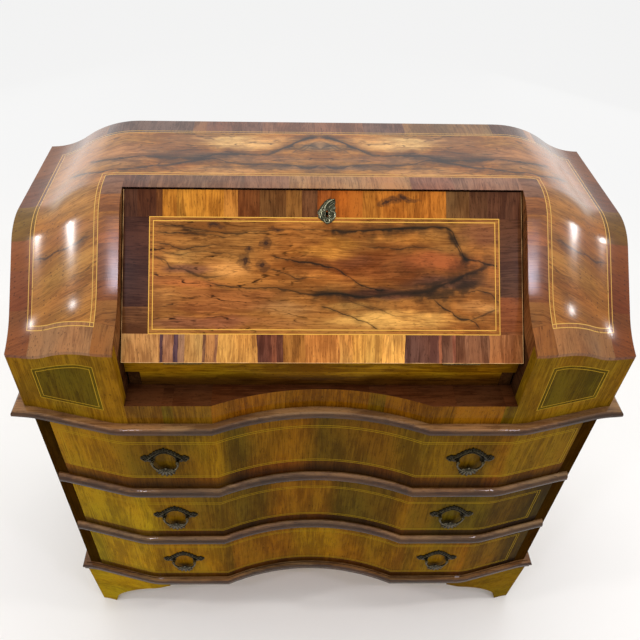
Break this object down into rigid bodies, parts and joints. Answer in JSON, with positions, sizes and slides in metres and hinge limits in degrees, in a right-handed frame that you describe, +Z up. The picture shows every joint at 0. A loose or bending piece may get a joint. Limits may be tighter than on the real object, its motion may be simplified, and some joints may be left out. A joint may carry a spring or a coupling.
{
  "type": "fall-front bureau",
  "caption": "Small walnut fall-front bureau with swept shoulders, a sloping fall over a writing bed with pigeonholes, a serpentine chest of long drawers, lopers and bracket feet.",
  "frame": {"origin": "on the floor under the middle of the piece", "axes": "+Z up, +X to the right across the piece seen from its front, +Y from its front to its back"},
  "size_m": [1.042, 0.468, 1.036],
  "materials": {
    "walnut_figured": "gloss",
    "walnut_dark": "gloss",
    "walnut_plain": "satin",
    "poplar": "matte",
    "brass_antique": "satin",
    "iron_lock": "satin",
    "leather_writing": "satin"
  },
  "bodies": {
    "case": {"wing_left": "walnut_figured", "wing_right": "walnut_figured", "wing_panel_left": "walnut_figured", "wing_panel_right": "walnut_figured", "desk_side_left": "walnut_figured", "desk_side_right": "walnut_figured", "chest_side_left": "walnut_figured", "chest_side_right": "walnut_figured", "desk_top": "walnut_figured", "step_block": "walnut_figured", "foot_front_right": "walnut_figured", "foot_front_left": "walnut_figured", "top_moulding": "walnut_dark", "base_moulding": "walnut_dark", "stile_right": "walnut_dark", "stile_left": "walnut_dark", "divider_rail_lower": "walnut_dark", "divider_rail_upper": "walnut_dark", "cheek_left": "walnut_plain", "cheek_right": "walnut_plain", "writing_bed": "walnut_plain", "front_rail": "walnut_plain", "nest_case": "walnut_plain", "nest_uprights": "walnut_plain", "chest_bottom": "poplar", "chest_top_board": "poplar", "chest_back": "poplar", "drawer_runners": "poplar", "desk_back": "poplar", "desk_floor": "poplar", "loper_guides": "poplar", "feet_rear": "poplar", "hinge_leaves_bed": "brass_antique", "strike_plate": "brass_antique"},
    "fall": {"fall_front": "walnut_figured", "writing_skin": "leather_writing", "lock_case": "iron_lock", "escutcheon": "brass_antique", "hinge_leaves_fall": "brass_antique"},
    "lock_bolt": {"lock_bolt": "iron_lock"},
    "loper_left": {"loper_left": "walnut_plain"},
    "loper_right": {"loper_right": "walnut_plain"},
    "small_drawer_left": {"small_drawer_left": "walnut_plain"},
    "small_drawer_centre": {"small_drawer_centre": "walnut_plain"},
    "small_drawer_right": {"small_drawer_right": "walnut_plain"},
    "drawer_lower": {"drawer_lower_front": "walnut_figured", "drawer_lower_box": "poplar", "pull_plates_lower": "brass_antique"},
    "bail_lower_left": {"bail_lower_left": "brass_antique"},
    "bail_lower_right": {"bail_lower_right": "brass_antique"},
    "drawer_middle": {"drawer_middle_front": "walnut_figured", "drawer_middle_box": "poplar", "pull_plates_middle": "brass_antique"},
    "bail_middle_left": {"bail_middle_left": "brass_antique"},
    "bail_middle_right": {"bail_middle_right": "brass_antique"},
    "drawer_upper": {"drawer_upper_front": "walnut_figured", "drawer_upper_box": "poplar", "pull_plates_upper": "brass_antique"},
    "bail_upper_left": {"bail_upper_left": "brass_antique"},
    "bail_upper_right": {"bail_upper_right": "brass_antique"}
  },
  "joints": [
    {"name": "fall_hinge", "type": "hinge", "parent": "case", "child": "fall", "pos_m": [0, -0.173, 0.82], "axis": [1, 0, 0], "range_deg": [0, 135]},
    {"name": "lock_throw", "type": "slide", "parent": "fall", "child": "lock_bolt", "axis": [0, 0.7071, 0.7071], "range_m": [0, 0.007]},
    {"name": "drawer_lower_slide", "type": "slide", "parent": "case", "child": "drawer_lower", "axis": [0, -1, 0], "range_m": [0, 0.3]},
    {"name": "bail_lower_left_swing", "type": "hinge", "parent": "drawer_lower", "child": "bail_lower_left", "pos_m": [-0.27, -0.223, 0.2585], "axis": [-1, 0, 0], "range_deg": [0, 80]},
    {"name": "bail_lower_right_swing", "type": "hinge", "parent": "drawer_lower", "child": "bail_lower_right", "pos_m": [0.27, -0.223, 0.2585], "axis": [-1, 0, 0], "range_deg": [0, 80]},
    {"name": "drawer_middle_slide", "type": "slide", "parent": "case", "child": "drawer_middle", "axis": [0, -1, 0], "range_m": [0, 0.3]},
    {"name": "bail_middle_left_swing", "type": "hinge", "parent": "drawer_middle", "child": "bail_middle_left", "pos_m": [-0.27, -0.223, 0.433], "axis": [-1, 0, 0], "range_deg": [0, 80]},
    {"name": "bail_middle_right_swing", "type": "hinge", "parent": "drawer_middle", "child": "bail_middle_right", "pos_m": [0.27, -0.223, 0.433], "axis": [-1, 0, 0], "range_deg": [0, 80]},
    {"name": "drawer_upper_slide", "type": "slide", "parent": "case", "child": "drawer_upper", "axis": [0, -1, 0], "range_m": [0, 0.3]},
    {"name": "bail_upper_left_swing", "type": "hinge", "parent": "drawer_upper", "child": "bail_upper_left", "pos_m": [-0.27, -0.223, 0.6175], "axis": [-1, 0, 0], "range_deg": [0, 80]},
    {"name": "bail_upper_right_swing", "type": "hinge", "parent": "drawer_upper", "child": "bail_upper_right", "pos_m": [0.27, -0.223, 0.6175], "axis": [-1, 0, 0], "range_deg": [0, 80]},
    {"name": "loper_left_slide", "type": "slide", "parent": "case", "child": "loper_left", "axis": [0, -1, 0], "range_m": [0, 0.22]},
    {"name": "loper_right_slide", "type": "slide", "parent": "case", "child": "loper_right", "axis": [0, -1, 0], "range_m": [0, 0.22]},
    {"name": "small_drawer_left_slide", "type": "slide", "parent": "case", "child": "small_drawer_left", "axis": [0, -1, 0], "range_m": [0, 0.11]},
    {"name": "small_drawer_centre_slide", "type": "slide", "parent": "case", "child": "small_drawer_centre", "axis": [0, -1, 0], "range_m": [0, 0.11]},
    {"name": "small_drawer_right_slide", "type": "slide", "parent": "case", "child": "small_drawer_right", "axis": [0, -1, 0], "range_m": [0, 0.11]}
  ]
}
